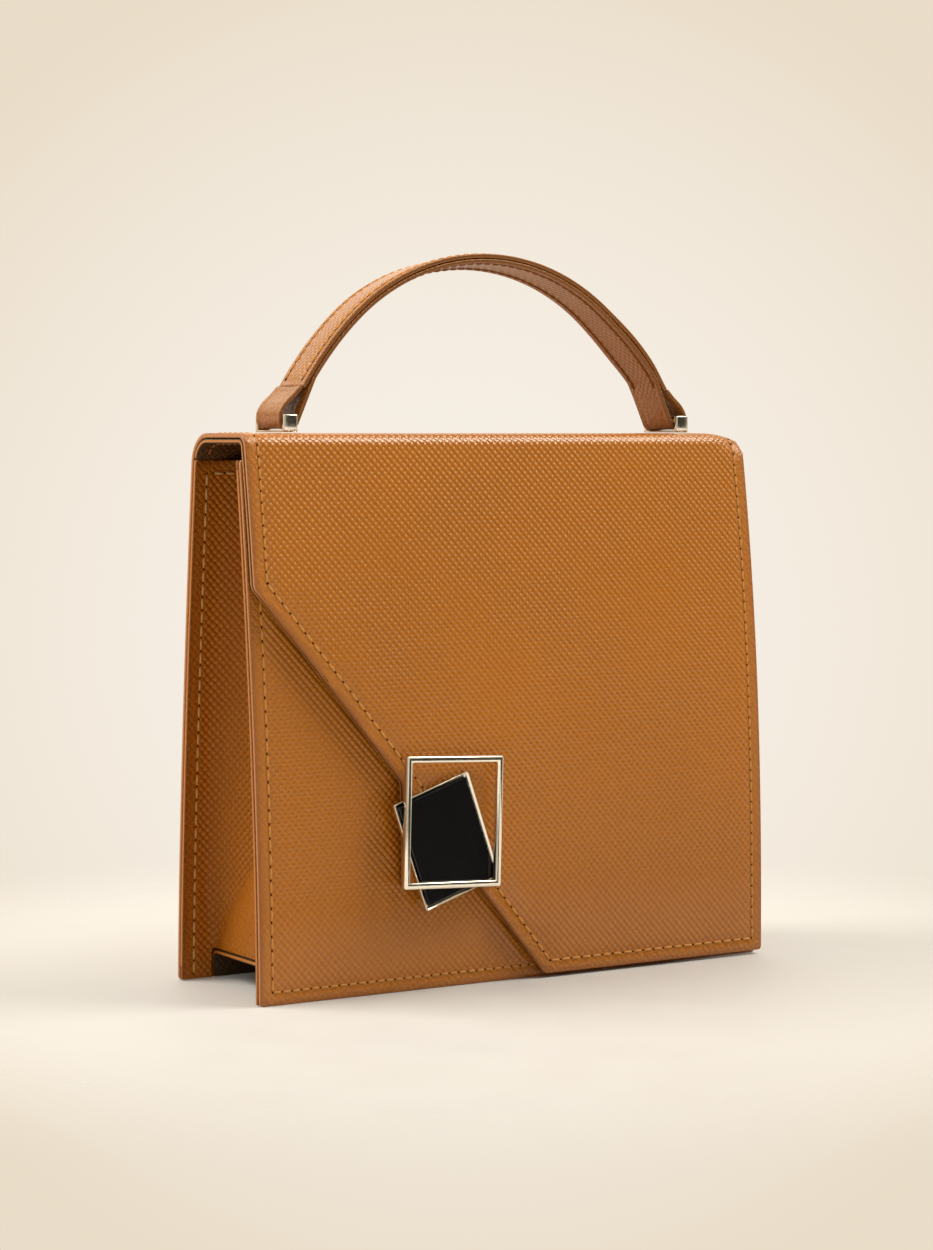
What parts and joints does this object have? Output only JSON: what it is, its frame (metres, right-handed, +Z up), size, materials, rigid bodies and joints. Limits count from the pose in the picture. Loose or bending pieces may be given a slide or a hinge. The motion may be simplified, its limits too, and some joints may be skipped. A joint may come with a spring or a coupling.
{
  "type": "top-handle flap handbag",
  "caption": "Structured tan leather handbag with a slanted front flap, folded side gussets, an arched top handle on metal brackets and a framed black enamel clasp.",
  "frame": {"origin": "on the surface the bag stands on, at the middle of the whole bag's footprint, clasp included", "axes": "+X to the right seen from the front, +Y from the front with the clasp towards the back, +Z up"},
  "size_m": [0.2, 0.0696, 0.247],
  "materials": {
    "leather": "embossed, semi-gloss",
    "lining_leather": "smooth, semi-matt",
    "gusset_leather": "embossed, semi-gloss",
    "gold_metal": "polished pale gold plating",
    "black_enamel": "glossy"
  },
  "bodies": {
    "root": {"back_and_flap": "leather", "flap_lining": "lining_leather", "front_panel": "leather", "gusset_left": "gusset_leather", "gusset_right": "gusset_leather", "base_channel": "gusset_leather", "handle_strap": "leather", "handle_lining": "lining_leather", "bracket_left": "gold_metal", "bracket_right": "gold_metal", "clasp_setting": "gold_metal", "clasp_enamel": "black_enamel"}
  },
  "joints": []
}
